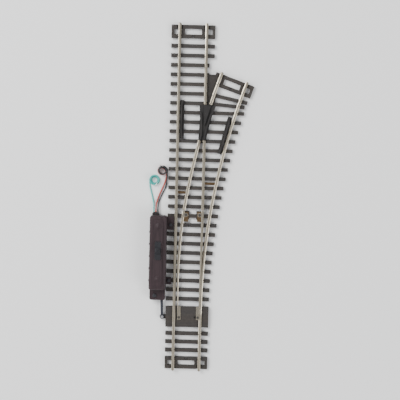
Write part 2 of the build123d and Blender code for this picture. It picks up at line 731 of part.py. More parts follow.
def arm_tail_pin():
    return at_rest(post(ARM_X, ARM_PIVOT_Y + ARM_TAIL, SLIDE_BOTTOM, ARM_TOP + 0.2, PIN_RADIUS))


def arm_pivot_pin():
    shank = post(ARM_X, ARM_PIVOT_Y, 0.2, ARM_TOP + 0.1, 0.7)
    return shank + post(ARM_X, ARM_PIVOT_Y, ARM_TOP + 0.1, ARM_TOP + 0.5, 1.2)


def pan_screw(x, y, tip, seat, shank, head):
    """A pan-head screw from its tip to its seat, with a crossed recess."""
    top = post(x, y, seat, seat + 0.7, head)
    top = chamfer(top.faces().sort_by(Axis.Z)[-1].edges(), 0.2)
    cross = block(x - head * 0.6, x + head * 0.6, y - 0.15, y + 0.15, seat + 0.35, seat + 1)
    cross += block(x - 0.15, x + 0.15, y - head * 0.6, y + head * 0.6, seat + 0.35, seat + 1)
    return top - cross + post(x, y, tip, seat, shank)


def mounting_screws():
    return Compound([pan_screw(x, y, 0.5, TIE_TOP + 1.05, SCREW_RADIUS, 1.1) for x, y in SCREW_POINTS])


def housing_screws():
    screws = [pan_screw(*TONGUE_SCREW, 0.3, TONGUE_TOP, 0.6, 1.3)]
    for x, y in (NEAR_BOSS, FAR_BOSS):
        shank = post(x, y, 0.5, 5.0, 0.6)
        screws.append(shank + post(x, y, 0.0, 0.5, 1.1))
    return Compound(screws)


def solder_lugs():
    return Compound([block(x - 0.35, x + 0.35, 100.2, 100.7, PLATE_TOP, 6.0) for x in WIRE_XS])


def lead_comb():
    """The three-way outlet that the leads leave the machine through."""
    body = block(COMB[0], COMB[1], COMB[2], COMB_END - 0.8, PLATE_TOP, COMB_TOP)
    for x in WIRE_XS:
        body += bar_y(x, WIRE_EXIT_Z, COMB_END - 0.8, COMB_END, 0.62)
    return body


# Leads: each runs from the outlet into a small loose coil that lies beside the ties
REST_Z = WIRE / 2 + 0.02
LAYER = 0.92
TURN_OUTER = 3.2
TURN_INNER = 2.1
TURN_PITCH = 1.0
LAYER_TURNS = (TURN_OUTER - TURN_INNER) / TURN_PITCH
CLIMB = 0.4
COIL_MARGIN = 0.05
TIP_OFFSET = 0.4
TIP_LENGTH = 2.5
TIP_RADIUS = 0.25


class LeadCoil:
    """A lead's coil. Side 1 joins it on +X and winds anticlockwise, side -1 joins it on -X the other way."""

    def __init__(self, x, y, level, layers, turns, side):
        self.x, self.y = x, y
        self.level = level
        self.layers = layers
        self.turns = turns
        self.side = side

    def ring(self):
        """The outer shape of the coil's turns."""
        low = self.level - WIRE / 2
        high = low + WIRE + (self.layers - 1) * LAYER
        outer = TURN_OUTER + WIRE / 2 + COIL_MARGIN
        inner = TURN_INNER - WIRE / 2 - COIL_MARGIN
        return post(self.x, self.y, low, high, outer) - post(self.x, self.y, low - 1, high + 1, inner)

    def tip(self):
        """The stripped and tinned end, which leaves the last turn along its tangent."""
        spare = self.turns - (self.layers - 1) * (LAYER_TURNS + CLIMB)
        radius = TURN_OUTER - spare * TURN_PITCH
        if self.layers % 2 == 0:
            radius = TURN_INNER + spare * TURN_PITCH
        angle = self.side * math.tau * self.turns
        out = Vector(self.side * math.cos(angle), self.side * math.sin(angle), 0)
        along = Vector(-out.Y, out.X, 0) * self.side
        top = self.level + (self.layers - 1) * LAYER
        start = Vector(self.x, self.y, top) + out * radius + along * TIP_OFFSET
        bare = Pos(0, 0, TIP_LENGTH / 2) * Cylinder(TIP_RADIUS, TIP_LENGTH)
        return Plane(origin=start, z_dir=along) * bare


COILS = {
    "green": LeadCoil(-23.2, 126.6, REST_Z, layers=3, turns=3.6, side=-1),
    "red": LeadCoil(-18.45, 132.5, REST_Z, layers=2, turns=2.05, side=1),
    "black": LeadCoil(-18.15, 132.8, REST_Z + 2 * LAYER, layers=2, turns=2.2, side=1),
}
ROUTES = {
    "green": [
        (WIRE_XS[0], COMB_END, WIRE_EXIT_Z),
        (WIRE_XS[0], 108.6, 1.8),
        (-23.7, 112.6, REST_Z),
        (-25.0, 117.6, REST_Z),
        (-26.3, 122.4, REST_Z),
        (-26.4, 126.6, REST_Z),
    ],
    "red": [
        (WIRE_XS[1], COMB_END, WIRE_EXIT_Z),
        (WIRE_XS[1], 108.8, 1.8),
        (-21.5, 112.8, REST_Z),
        (-19.4, 118.2, REST_Z),
        (-17.0, 123.4, REST_Z),
        (-15.6, 128.1, REST_Z),
        (-15.25, 132.5, REST_Z),
    ],
    "black": [
        (WIRE_XS[2], COMB_END, WIRE_EXIT_Z),
        (WIRE_XS[2], 108.7, 1.8),
        (-20.1, 112.7, REST_Z),
        (-17.9, 117.6, REST_Z),
        (-15.5, 122.6, REST_Z),
        (-15.0, 127.9, 1.45),
        (-14.95, 132.8, REST_Z + 2 * LAYER),
    ],
}


def corner_radii(points):
    """Each corner's arc: 0.45 of its shorter run, over the tangent of half its turn."""
    vectors = [Vector(*b) - Vector(*a) for a, b in zip(points, points[1:])]
    radii = []
    for before, after in zip(vectors, vectors[1:]):
        half = math.radians(before.get_angle(after)) / 2
        radii.append(0.45 * min(before.length, after.length) / math.tan(half))
    return radii


def lead(colour):
    """A free wire along its route, up to where its coil begins."""
    points = ROUTES[colour]
    radii = corner_radii(points)
    path = FilletPolyline(*points, radius=radii)
    start = Plane(origin=points[0], z_dir=path % 0)
    tube = sweep(start * Circle(WIRE / 2), path=path)
    ideal = math.pi * (WIRE / 2) ** 2 * path.length
    print(colour, "length", round(path.length, 1), "radii", [round(radius, 1) for radius in radii])
    print("tightest", round(min(radii) / WIRE, 1), "diameters, volume ratio", round(tube.volume / ideal, 4))
    for coil in COILS.values():
        tube -= coil.ring()
    return tube


def lead_coil(colour):
    """A lead's turns as one solid, open where its bare end lies in them."""
    coil = COILS[colour]
    return coil.ring() - coil.tip()


NODES = {
    "tie_strip": tie_strip(),
    "stock_rail_straight": stock_rail_straight(),
    "stock_rail_curved": stock_rail_curved(),
    "closure_rail_straight": closure_rail_straight(),
    "closure_rail_curved": closure_rail_curved(),
    "frog": frog(),
    "frog_rail_straight": frog_rail_straight(),
    "frog_rail_diverging": frog_rail_diverging(),
    "guard_rail_left": guard_rail_left(),
    "guard_rail_right": guard_rail_right(),
    "heel_plate_left": heel_plate(PIVOT_LEFT),
    "heel_plate_right": heel_plate(PIVOT_RIGHT),
    "heel_rivet_left": heel_rivet(PIVOT_LEFT),
    "heel_rivet_right": heel_rivet(PIVOT_RIGHT),
    "feeder_strip_left": feeder_strip(-1, FEEDER_GAPS[0]),
    "feeder_strip_right": feeder_strip(1, FEEDER_GAPS[1]),
    "point_rail_straight": point_rail_straight(),
    "point_rail_curved": point_rail_curved(),
    "throwbar": throwbar(),
    "point_pins": point_pins(),
    "arm_pin": arm_pin(),
    "machine_base_plate": machine_base_plate(),
    "machine_housing": machine_housing(),
    "coil_bobbin_near": coil_bobbin(COIL_A),
    "coil_bobbin_far": coil_bobbin(COIL_B),
    "coil_winding_near": coil_winding(COIL_A),
    "coil_winding_far": coil_winding(COIL_B),
    "plunger": plunger(),
    "drive_pin": drive_pin(),
    "throw_knob": throw_knob(),
    "drive_slide": drive_slide(),
    "throw_arm": throw_arm(),
    "arm_tail_pin": arm_tail_pin(),
    "arm_pivot_pin": arm_pivot_pin(),
    "mounting_screws": mounting_screws(),
    "housing_screws": housing_screws(),
    "solder_lugs": solder_lugs(),
    "lead_comb": lead_comb(),
    "lead_green": lead("green"),
    "lead_red": lead("red"),
    "lead_black": lead("black"),
    "lead_coil_green": lead_coil("green"),
    "lead_coil_red": lead_coil("red"),
    "lead_coil_black": lead_coil("black"),
    "lead_tip_green": COILS["green"].tip(),
    "lead_tip_red": COILS["red"].tip(),
    "lead_tip_black": COILS["black"].tip(),
}

os.makedirs("parts", exist_ok=True)
for node, shape in NODES.items():
    export_step(shape, f"parts/{node}.step")
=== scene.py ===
"""The looks of a right-hand model turnout with its switch machine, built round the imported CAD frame."""
import json
import math

import bmesh
import bpy
from mathutils import Matrix, Vector


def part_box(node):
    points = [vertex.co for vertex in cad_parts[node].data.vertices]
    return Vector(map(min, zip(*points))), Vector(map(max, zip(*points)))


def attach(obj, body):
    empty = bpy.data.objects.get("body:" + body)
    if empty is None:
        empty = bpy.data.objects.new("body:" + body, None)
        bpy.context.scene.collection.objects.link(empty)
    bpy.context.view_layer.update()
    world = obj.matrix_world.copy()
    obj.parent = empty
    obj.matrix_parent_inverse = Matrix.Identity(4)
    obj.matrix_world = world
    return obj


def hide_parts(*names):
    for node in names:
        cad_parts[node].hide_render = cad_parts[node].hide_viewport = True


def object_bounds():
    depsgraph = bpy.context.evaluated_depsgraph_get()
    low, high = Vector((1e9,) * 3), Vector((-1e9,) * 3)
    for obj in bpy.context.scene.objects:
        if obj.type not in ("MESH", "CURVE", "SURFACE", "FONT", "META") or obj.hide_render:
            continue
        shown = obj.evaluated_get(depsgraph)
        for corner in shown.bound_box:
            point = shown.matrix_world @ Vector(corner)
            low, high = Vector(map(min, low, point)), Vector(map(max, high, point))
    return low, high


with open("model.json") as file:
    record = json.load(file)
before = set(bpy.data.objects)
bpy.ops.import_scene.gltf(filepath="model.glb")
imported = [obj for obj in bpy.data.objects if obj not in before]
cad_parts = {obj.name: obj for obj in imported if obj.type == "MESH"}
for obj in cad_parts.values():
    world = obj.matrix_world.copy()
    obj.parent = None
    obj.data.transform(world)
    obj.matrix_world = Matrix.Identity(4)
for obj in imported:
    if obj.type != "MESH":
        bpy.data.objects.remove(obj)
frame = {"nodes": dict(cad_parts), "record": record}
CAD_BOX = [list(corner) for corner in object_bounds()]
NODES = frame["nodes"]
MM = 0.001
TRACK = "track_and_machine"

# Track geometry, in millimetres, as the frame has it
RAIL_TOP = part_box("stock_rail_straight")[1].z / MM
TIE_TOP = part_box("stock_rail_straight")[0].z / MM
LEAD_IN = 38.1
RADIUS = 457.2
LINE = 8.725
TURN = 20.0
END_TIE = 2.3
CLOSE_TIES, CLOSE_PITCH = 8, 5.64
WIDE_TIES, WIDE_PITCH = 30, 6.15
TIE_YS = [END_TIE + CLOSE_PITCH * k for k in range(CLOSE_TIES)]
TIE_YS += [TIE_YS[-1] + WIDE_PITCH * (m + 1) for m in range(WIDE_TIES)]
FAN_TIES = {CLOSE_TIES + 21: 5.0, CLOSE_TIES + 22: 12.0}
FAN_HINGE_X = 11.0
RING_PITCH = 5.9
RING_ANGLE = TURN - math.degrees((END_TIE + RING_PITCH) / RADIUS)


# Shader helpers

class Shader:
    """A material's node tree, with a short way to add and join nodes."""

    def __init__(self, name):
        self.material = bpy.data.materials.new(name)
        self.material.use_nodes = True
        self.tree = self.material.node_tree
        self.tree.nodes.clear()
        self.out = self.tree.nodes.new("ShaderNodeOutputMaterial")
        self.surface = self.tree.nodes.new("ShaderNodeBsdfPrincipled")
        self.tree.links.new(self.surface.outputs[0], self.out.inputs[0])
        self.place = self.tree.nodes.new("ShaderNodeTexCoord").outputs["Object"]

    def add(self, kind, settings=None, **inputs):
        """A node with its settings and its inputs, each a value or another node's output."""
        node = self.tree.nodes.new(kind)
        for key, value in (settings or {}).items():
            setattr(node, key, value)
        for key, value in inputs.items():
            self.feed(node.inputs[int(key[1:])] if key[1:].isdigit() else node.inputs[key], value)
        return node

    def feed(self, socket, value):
        if isinstance(value, bpy.types.NodeSocket):
            self.tree.links.new(value, socket)
        else:
            socket.default_value = value

    def set(self, **values):
        for key, value in values.items():
            self.feed(self.surface.inputs[key.replace("_", " ")], value)

    def scaled(self, scale):
        """The object's coordinates, stretched by a scale for each axis, per metre."""
        return self.add("ShaderNodeMapping", Vector=self.place, Scale=scale).outputs[0]

    def noise(self, scale, detail=5.0, rough=0.6, warp=0.0):
        """Noise with a feature size set for each axis."""
        node = self.add("ShaderNodeTexNoise", Vector=self.scaled(scale), Scale=1.0, Detail=detail,
                        Roughness=rough, Distortion=warp)
        return node.outputs["Fac"]

    def ramp(self, value, *stops):
        """A colour ramp through (position, colour) stops."""
        node = self.add("ShaderNodeValToRGB", _0=value)
        elements = node.color_ramp.elements
        while len(elements) < len(stops):
            elements.new(0.5)
        for element, (position, colour) in zip(elements, stops):
            element.position = position
            element.color = (*colour, 1.0)
        return node.outputs[0]

    def remap(self, value, low, high, to_low, to_high):
        node = self.add("ShaderNodeMapRange", _0=value, _1=low, _2=high, _3=to_low, _4=to_high)
        return node.outputs[0]

    def maths(self, operation, a, b):
        return self.add("ShaderNodeMath", {"operation": operation}, _0=a, _1=b).outputs[0]

    def blend(self, share, a, b):
        """Two colours mixed by a share."""
        node = self.add("ShaderNodeMix", {"data_type": "RGBA"}, _0=share, _6=a, _7=b)
        return node.outputs[2]

    def bump(self, height, distance, strength=1.0, under=None):
        node = self.add("ShaderNodeBump", Height=height, Distance=distance, Strength=strength)
        if under is not None:
            self.feed(node.inputs["Normal"], under)
        return node.outputs[0]

    def upness(self):
        """How far the surface faces up, from 0 to 1."""
        normal = self.add("ShaderNodeNewGeometry").outputs["Normal"]
        return self.add("ShaderNodeSeparateXYZ", Vector=normal).outputs["Z"]

    def edges(self, radius, low=0.02, high=0.25):
        """A mask of the convex and concave edges within a radius."""
        soft = self.add("ShaderNodeBevel", {"samples": 4}, Radius=radius).outputs[0]
        hard = self.add("ShaderNodeNewGeometry").outputs["Normal"]
        product = self.add("ShaderNodeVectorMath", {"operation": "DOT_PRODUCT"}, _0=soft, _1=hard)
        return self.remap(self.maths("SUBTRACT", 1.0, product.outputs["Value"]), low, high, 0.0, 1.0)


def rgba(colour):
    return (*colour, 1.0)


# Materials

def tie_material():
    """Moulded ties: near-black brown with wood grain along each tie, dusty on top, worn at the edges."""
    s = Shader("tie_plastic_grained")
    grain = s.noise((130, 2600, 2600), detail=8, rough=0.7, warp=0.6)
    ties = s.noise((9, 160, 9), detail=1, rough=0.4)
    colour = s.ramp(grain, (0.30, (0.009, 0.007, 0.006)), (0.52, (0.022, 0.017, 0.015)),
                    (0.75, (0.046, 0.036, 0.030)))
    aged = s.blend(s.remap(ties, 0.35, 0.65, 0.0, 0.65), colour, rgba((0.016, 0.014, 0.015)))
    dust = s.maths("MULTIPLY", s.remap(s.upness(), 0.6, 1.0, 0.0, 0.20), s.noise((700, 700, 700)))
    dusty = s.blend(dust, aged, rgba((0.17, 0.155, 0.135)))
    worn = s.maths("MULTIPLY", s.edges(0.00025), s.remap(s.noise((1500,) * 3), 0.4, 0.7, 0.0, 0.7))
    s.set(Base_Color=s.blend(worn, dusty, rgba((0.095, 0.080, 0.068))))
    s.set(Roughness=s.remap(grain, 0.3, 0.8, 0.52, 0.80), Specular_IOR_Level=0.35)
    s.set(Normal=s.bump(grain, 0.00022, 0.9, s.bump(s.noise((9000,) * 3), 0.00002, 0.6)))
    return s.material


def rail_material():
    """Drawn nickel silver: a polished head, duller sides, scratches along the rail."""
    s = Shader("rail_nickel_silver")
    lines = s.noise((9000, 160, 9000), detail=4, rough=0.65)
    cloud = s.noise((260, 90, 260), detail=4)
    top = s.remap(s.upness(), 0.5, 0.98, 0.0, 1.0)
    side = s.ramp(cloud, (0.35, (0.145, 0.118, 0.084)), (0.65, (0.27, 0.225, 0.168)))
    head = s.ramp(lines, (0.3, (0.34, 0.300, 0.232)), (0.7, (0.52, 0.470, 0.378)))
    s.set(Base_Color=s.blend(top, side, head), Metallic=1.0)
    polish = s.maths("ADD", s.remap(lines, 0.3, 0.7, 0.0, 0.14), s.remap(top, 0.0, 1.0, 0.40, 0.22))
    s.set(Roughness=polish)
    s.set(Normal=s.bump(lines, 0.00002, 0.35, s.bump(cloud, 0.00004, 0.15)))
    return s.material


def moulded_material(name, dark, light, texture=11000, height=0.00002, rough=(0.42, 0.6), wear=0.35,
                     flow=(140, 90, 140)):
    """Moulded plastic with a spark-eroded skin, uneven tone and rubbed edges."""
    s = Shader(name)
    skin = s.noise((texture,) * 3, detail=3, rough=0.5)
    tone = s.noise(flow, detail=5, warp=0.8)
    colour = s.ramp(tone, (0.3, dark), (0.72, light))
    rub = s.maths("MULTIPLY", s.edges(0.0003), s.remap(s.noise((900,) * 3), 0.42, 0.62, 0.0, wear))
    pale = tuple(min(1.0, 2.4 * c + 0.02) for c in light)
    s.set(Base_Color=s.blend(rub, colour, rgba(pale)))
    s.set(Roughness=s.remap(tone, 0.3, 0.75, *rough), Specular_IOR_Level=0.4)
    scuff = s.noise((300, 5200, 300), detail=2)
    s.set(Normal=s.bump(skin, height, 0.7, s.bump(scuff, 0.00003, 0.2)))
    return s.material


def metal_material(name, dark, light, rough=(0.25, 0.5), along=(600, 7000, 7000), stain=0.4):
    """Turned, stamped or blackened metal with tool marks and a mottled film."""
    s = Shader(name)
    marks = s.noise(along, detail=4, rough=0.7)
    film = s.noise((1300,) * 3, detail=5, warp=1.0)
    shine = s.ramp(marks, (0.3, dark), (0.7, light))
    dull = tuple(0.55 * c for c in dark)
    s.set(Base_Color=s.blend(s.remap(film, 0.45, 0.7, 0.0, stain), shine, rgba(dull)), Metallic=1.0)
    s.set(Roughness=s.remap(film, 0.3, 0.7, *rough))
    s.set(Normal=s.bump(marks, 0.00002, 0.4))
    return s.material


def wire_material(name, dark, light):
    """Extruded insulation: glossy, with faint draw lines and smudges."""
    s = Shader(name)
    smudge = s.noise((1500,) * 3, detail=4)
    s.set(Base_Color=s.ramp(smudge, (0.3, dark), (0.7, light)))
    s.set(Roughness=s.remap(smudge, 0.3, 0.7, 0.22, 0.42))
    s.set(Normal=s.bump(s.noise((5200,) * 3, detail=2), 0.00002, 0.35))
    return s.material


def winding_material():
    """Enamelled copper wire, wound in close turns along Y."""
    s = Shader("winding_enamel")
    turns = s.add("ShaderNodeTexWave", {"wave_type": "BANDS", "bands_direction": "Y", "wave_profile": "SIN"},
                  Vector=s.place, Scale=1400.0, Distortion=0.25).outputs["Fac"]
    tone = s.noise((900,) * 3, detail=3)
    s.set(Base_Color=s.ramp(tone, (0.3, (0.36, 0.11, 0.045)), (0.7, (0.62, 0.24, 0.10))), Metallic=0.85)
    s.set(Roughness=s.remap(turns, 0.0, 1.0, 0.45, 0.24))
    s.set(Normal=s.bump(turns, 0.00012, 0.9))
    return s.material


MATERIALS = {
    "tie_plastic": tie_material(),
    "rail_metal": rail_material(),
    "frog_plastic": moulded_material("frog_black", (0.008, 0.007, 0.007), (0.024, 0.021, 0.020)),
    "guard_plastic": moulded_material("guard_black", (0.010, 0.008, 0.008), (0.028, 0.024, 0.022)),
    "bronze": metal_material("phosphor_bronze", (0.115, 0.075, 0.042), (0.25, 0.170, 0.096)),
    "rivet_steel": metal_material("blackened_rivet", (0.060, 0.055, 0.050), (0.16, 0.15, 0.14), (0.35, 0.6)),
    "pin_steel": metal_material("turned_steel", (0.38, 0.38, 0.39), (0.62, 0.62, 0.63)),
    "housing_plastic": moulded_material("housing_brown", (0.017, 0.0085, 0.0105), (0.032, 0.0165, 0.0205),
                                        flow=(420, 40, 420)),
    "base_plastic": moulded_material("base_black", (0.010, 0.007, 0.008), (0.026, 0.019, 0.021)),
    "bobbin_nylon": moulded_material("bobbin_natural", (0.52, 0.48, 0.38), (0.68, 0.64, 0.54), wear=0.1),
    "winding_copper": winding_material(),
    "plunger_steel": metal_material("ground_steel", (0.34, 0.34, 0.35), (0.58, 0.58, 0.60), (0.2, 0.38)),
    "knob_plastic": moulded_material("knob_black", (0.010, 0.010, 0.012), (0.026, 0.026, 0.030),
                                     height=0.00001, rough=(0.22, 0.38)),
    "slide_nylon": moulded_material("slide_natural", (0.44, 0.42, 0.36), (0.60, 0.58, 0.50), wear=0.1),
    "throwbar_plastic": moulded_material("throwbar_black", (0.018, 0.016, 0.014), (0.046, 0.040, 0.036)),
    "arm_plastic": moulded_material("arm_black", (0.013, 0.014, 0.020), (0.034, 0.036, 0.048)),
    "screw_steel": metal_material("blackened_screw", (0.045, 0.045, 0.050), (0.13, 0.13, 0.14), (0.3, 0.55)),
    "lug_brass": metal_material("tinned_brass", (0.52, 0.42, 0.22), (0.78, 0.70, 0.48)),
    "wire_green": wire_material("insulation_green", (0.030, 0.30, 0.27), (0.075, 0.50, 0.45)),
    "wire_red": wire_material("insulation_red", (0.30, 0.030, 0.022), (0.50, 0.075, 0.050)),
    "wire_black": wire_material("insulation_black", (0.008, 0.008, 0.009), (0.024, 0.024, 0.027)),
    "tinned_copper": metal_material("tinned_strands", (0.52, 0.50, 0.47), (0.80, 0.79, 0.76)),
}
SLOT_OF = {row["node"]: row["material_slot"] for row in frame["record"]["subparts"]}


def dress(piece, slot):
    """Gives a piece the material of a slot."""
    piece.data.materials.clear()
    piece.data.materials.append(MATERIALS[slot])


def soften(piece, width, segments=2):
    """Rounds a CAD node's hard edges a little, as a mould or a drawing die does."""
    weld = piece.modifiers.new("weld", "WELD")
    weld.merge_threshold = 0.000002
    bevel = piece.modifiers.new("bevel", "BEVEL")
    bevel.width = width
    bevel.segments = segments
    bevel.limit_method = "ANGLE"
    bevel.angle_limit = math.radians(40)
    bevel.harden_normals = False


# How much each node's edges are rounded, in millimetres
SOFTENED = {
    "tie_strip": 0.12, "frog": 0.08, "guard_rail_left": 0.08, "guard_rail_right": 0.08,
    "machine_housing": 0.15, "machine_base_plate": 0.10, "throw_knob": 0.10, "lead_comb": 0.10,
    "throwbar": 0.12, "throw_arm": 0.08, "drive_slide": 0.08,
    "heel_plate_left": 0.06, "heel_plate_right": 0.06,
    "stock_rail_straight": 0.05, "stock_rail_curved": 0.05, "closure_rail_straight": 0.05,
    "closure_rail_curved": 0.05, "frog_rail_straight": 0.05, "frog_rail_diverging": 0.05,
    "point_rail_straight": 0.05, "point_rail_curved": 0.05, "point_pins": 0.06, "arm_pin": 0.08,
    "heel_rivet_left": 0.08, "heel_rivet_right": 0.08, "arm_pivot_pin": 0.08,
    "mounting_screws": 0.05, "housing_screws": 0.05,
}
for node_name, node in NODES.items():
    dress(node, SLOT_OF[node_name])
    if node_name in SOFTENED:
        soften(node, SOFTENED[node_name] * MM)


# Mesh helpers. Sizes are in millimetres until a piece is finished.

def outline_prism(bm, outline, place):
    """A closed prism: place(point, end) gives a corner's position at either end of it."""
    ends = [[bm.verts.new(place(point, end)) for point in outline] for end in (0, 1)]
    bm.faces.new(reversed(ends[0]))
    bm.faces.new(ends[1])
    count = len(outline)
    for i in range(count):
        j = (i + 1) % count
        bm.faces.new((ends[0][i], ends[0][j], ends[1][j], ends[1][i]))


def make_piece(name, bm, slot, body, smooth_angle=35.0):
    """Turns a mesh in millimetres into a piece of the object."""
    bmesh.ops.recalc_face_normals(bm, faces=bm.faces)
    bmesh.ops.scale(bm, vec=(MM,) * 3, verts=bm.verts)
    mesh = bpy.data.meshes.new(name)
    bm.to_mesh(mesh)
    bm.free()
    mesh.set_sharp_from_angle(angle=math.radians(smooth_angle))
    piece = bpy.data.objects.new(name, mesh)
    bpy.context.scene.collection.objects.link(piece)
    dress(piece, slot)
    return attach(piece, body)


def curve_x(radius, y):
    """Where a rail line of the diverging route is at a distance along the straight route."""
    if y <= LEAD_IN:
        return RADIUS - radius
    return RADIUS - math.sqrt(radius**2 - (y - LEAD_IN) ** 2)


def heading_at(radius, y):
    """How far a rail line of the diverging route has turned from +Y, in degrees."""
    return math.degrees(math.asin(max(0.0, y - LEAD_IN) / radius))


# Rail fixings: moulded tie plates, spike heads and bolt heads at every crossing of a rail and a tie

# Each outline goes out from the middle of the rail and up from the top of the tie.
PLATE_OUTLINE = [(0.97, -0.05), (1.62, -0.05), (1.54, 0.13), (0.97, 0.13)]
PLATE_HALF = 0.98
CLIP_OUTLINE = [(1.00, 0.02), (1.50, 0.02), (1.46, 0.36), (1.16, 0.60), (0.74, 0.64), (0.70, 0.46),
                (1.00, 0.42)]
CLIP_HALF = 0.24
BOLT_OUTLINE = [(1.06, 0.02), (1.44, 0.02), (1.40, 0.27), (1.10, 0.27)]
BOLT_HALF = 0.18
STAGGER = 0.5
INNER_RAIL = RADIUS - LINE
OUTER_RAIL = RADIUS + LINE
POINTS_SPAN = (29.0, 107.0)
FROG_SPAN = (152.9, 176.3)
LEFT_GUARD_SPAN = (152.0, 181.0)
RIGHT_GUARD_SPAN = (141.5, 170.5)
MACHINE_SPAN = (92.5, 104.5)
HEADBLOCK_SPAN = (29.3, 43.0)


def within(y, span):
    return span[0] <= y <= span[1]


def plain_crossings(index, y):
    """The crossings of a straight tie: each a place, a heading and the sides that have room for fixings."""
    found = [(-LINE, y, 0.0, not within(y, MACHINE_SPAN),
              not within(y, POINTS_SPAN) and not within(y, LEFT_GUARD_SPAN))]
    right_rails = index < min(FAN_TIES)
    if right_rails:
        found.append((curve_x(INNER_RAIL, y), y, heading_at(INNER_RAIL, y),
                      not within(y, POINTS_SPAN) and not within(y, RIGHT_GUARD_SPAN), True))
    if y > POINTS_SPAN[1] and not within(y, FROG_SPAN):
        found.append((LINE, y, 0.0, True, True))
        if right_rails:
            found.append((curve_x(OUTER_RAIL, y), y, heading_at(OUTER_RAIL, y), True, True))
    return found


def radial_crossings(angle):
    """The crossings of a tie that points at the centre of the diverging curve."""
    turn = math.radians(angle)
    return [(RADIUS - radius * math.cos(turn), LEAD_IN + radius * math.sin(turn), angle, True, True)
            for radius in (INNER_RAIL, OUTER_RAIL)]


def fan_crossings(index, angle):
    """The crossings of a fan tie's turned arm with the two diverging rails."""
    across = Vector((math.cos(math.radians(angle)), -math.sin(math.radians(angle))))
    hinge = Vector((FAN_HINGE_X, TIE_YS[index])) - Vector((RADIUS, LEAD_IN))
    found = []
    for radius in (INNER_RAIL, OUTER_RAIL):
        half = hinge.dot(across)
        reach = -half - math.sqrt(half**2 - hinge.length_squared + radius**2)
        place = hinge + across * reach + Vector((RADIUS, LEAD_IN))
        found.append((place.x, place.y, heading_at(radius, place.y), True, True))
    return found


def all_crossings():
    found = []
    for index, y in enumerate(TIE_YS[1:-1], start=1):
        if not within(y, HEADBLOCK_SPAN):
            found += plain_crossings(index, y)
    for index, angle in FAN_TIES.items():
        found += fan_crossings(index, angle)
    return found + radial_crossings(RING_ANGLE)


def fixing(bm, x, y, heading, side):
    """One side of a rail's fixing: half a tie plate, a hooked spike head and a bolt head."""
    turn = math.radians(heading)
    across = Vector((math.cos(turn), -math.sin(turn))) * side
    along = Vector((math.sin(turn), math.cos(turn)))

    def part(outline, middle, half):
        """A prism along the rail, from half before its middle to half past it."""

        def at(point, end):
            spot = Vector((x, y)) + across * point[0] + along * (middle + half * (2 * end - 1))
            return (spot.x, spot.y, TIE_TOP + point[1])

        outline_prism(bm, outline, at)

    part(PLATE_OUTLINE, 0.0, PLATE_HALF)
    part(CLIP_OUTLINE, STAGGER * side, CLIP_HALF)
    part(BOLT_OUTLINE, -STAGGER * side, BOLT_HALF)


def rail_fixings():
    bm = bmesh.new()
    for x, y, heading, left, right in all_crossings():
        if left:
            fixing(bm, x, y, heading, -1)
        if right:
            fixing(bm, x, y, heading, 1)
    return make_piece("rail_fixings", bm, "tie_plastic", TRACK)


rail_fixings()


# Moulded trim: bolt heads along the frog and the guard rails, and the machine's ribs and bosses

WALL_X = -25.4
RIDGE_TOP = 11.3
COIL_X = -19.8
FROG_FLOOR = TIE_TOP + 0.9
GUARD_FOOT_TOP = TIE_TOP + 0.5
FACE = LINE - 0.475
WING_BOLT_X = FACE - 2.9
WING_BOLT_YS = (157.6, 161.0, 164.4)
V_BOLT_X = FACE + 0.9
V_BOLT_YS = (170.4, 173.6)
V_SPREAD = 0.14
GUARD_BOLT_LINE = FACE - 2.75
LEFT_GUARD_BOLT_YS = (157.0, 161.6, 166.2, 170.8, 175.4)
RIGHT_GUARD_BOLT_YS = (147.0, 151.4, 155.8, 160.2, 164.6)
RIB_YS = (61.0, 69.0, 77.0, 85.0, 93.0)
RIB_HALF = 0.45
RIB_OUTLINE = [(WALL_X + 0.1, 1.3), (WALL_X + 0.1, 10.0), (WALL_X - 0.05, 9.9), (WALL_X - 0.35, 9.3),
               (WALL_X - 0.35, 1.3)]
BOSS_YS = (62.5, 97.0)
SUNK = 0.1


def bolt_head(bm, x, y, z0, z1, radius, sides=6):
    """An upright bolt head or boss with a small bevel round its top."""
    ring = [(math.cos(math.tau * k / sides), math.sin(math.tau * k / sides)) for k in range(sides)]
    levels = [(z0, 1.0), (z1 - 0.25 * (z1 - z0), 1.0), (z1, 0.8)]
    loops = [[bm.verts.new((x + radius * f * c, y + radius * f * s, z)) for c, s in ring] for z, f in levels]
    bm.faces.new(reversed(loops[0]))
    bm.faces.new(loops[-1])
    for low, high in zip(loops, loops[1:]):
        for i in range(sides):
            j = (i + 1) % sides
            bm.faces.new((low[i], low[j], high[j], high[i]))


def frog_bolts():
    """Bolt heads on the frog's floor, outside the wing rails and beside the V."""
    bm = bmesh.new()
    for y in WING_BOLT_YS:
        bolt_head(bm, WING_BOLT_X, y, FROG_FLOOR - SUNK, FROG_FLOOR + 0.35, radius=0.26)
    for y in V_BOLT_YS:
        x = V_BOLT_X + (y - V_BOLT_YS[0]) * V_SPREAD
        bolt_head(bm, x, y, RAIL_TOP - SUNK, RAIL_TOP + 0.05, radius=0.3, sides=12)
    return make_piece("frog_bolts", bm, "frog_plastic", TRACK)


def guard_bolts():
    """Bolt heads on the guard rails' feet."""
    bm = bmesh.new()
    places = [(-GUARD_BOLT_LINE, y) for y in LEFT_GUARD_BOLT_YS]
    places += [(curve_x(RADIUS - GUARD_BOLT_LINE, y), y) for y in RIGHT_GUARD_BOLT_YS]
    for x, y in places:
        bolt_head(bm, x, y, GUARD_FOOT_TOP - SUNK, GUARD_FOOT_TOP + 0.4, radius=0.24)
    return make_piece("guard_bolts", bm, "guard_plastic", TRACK)


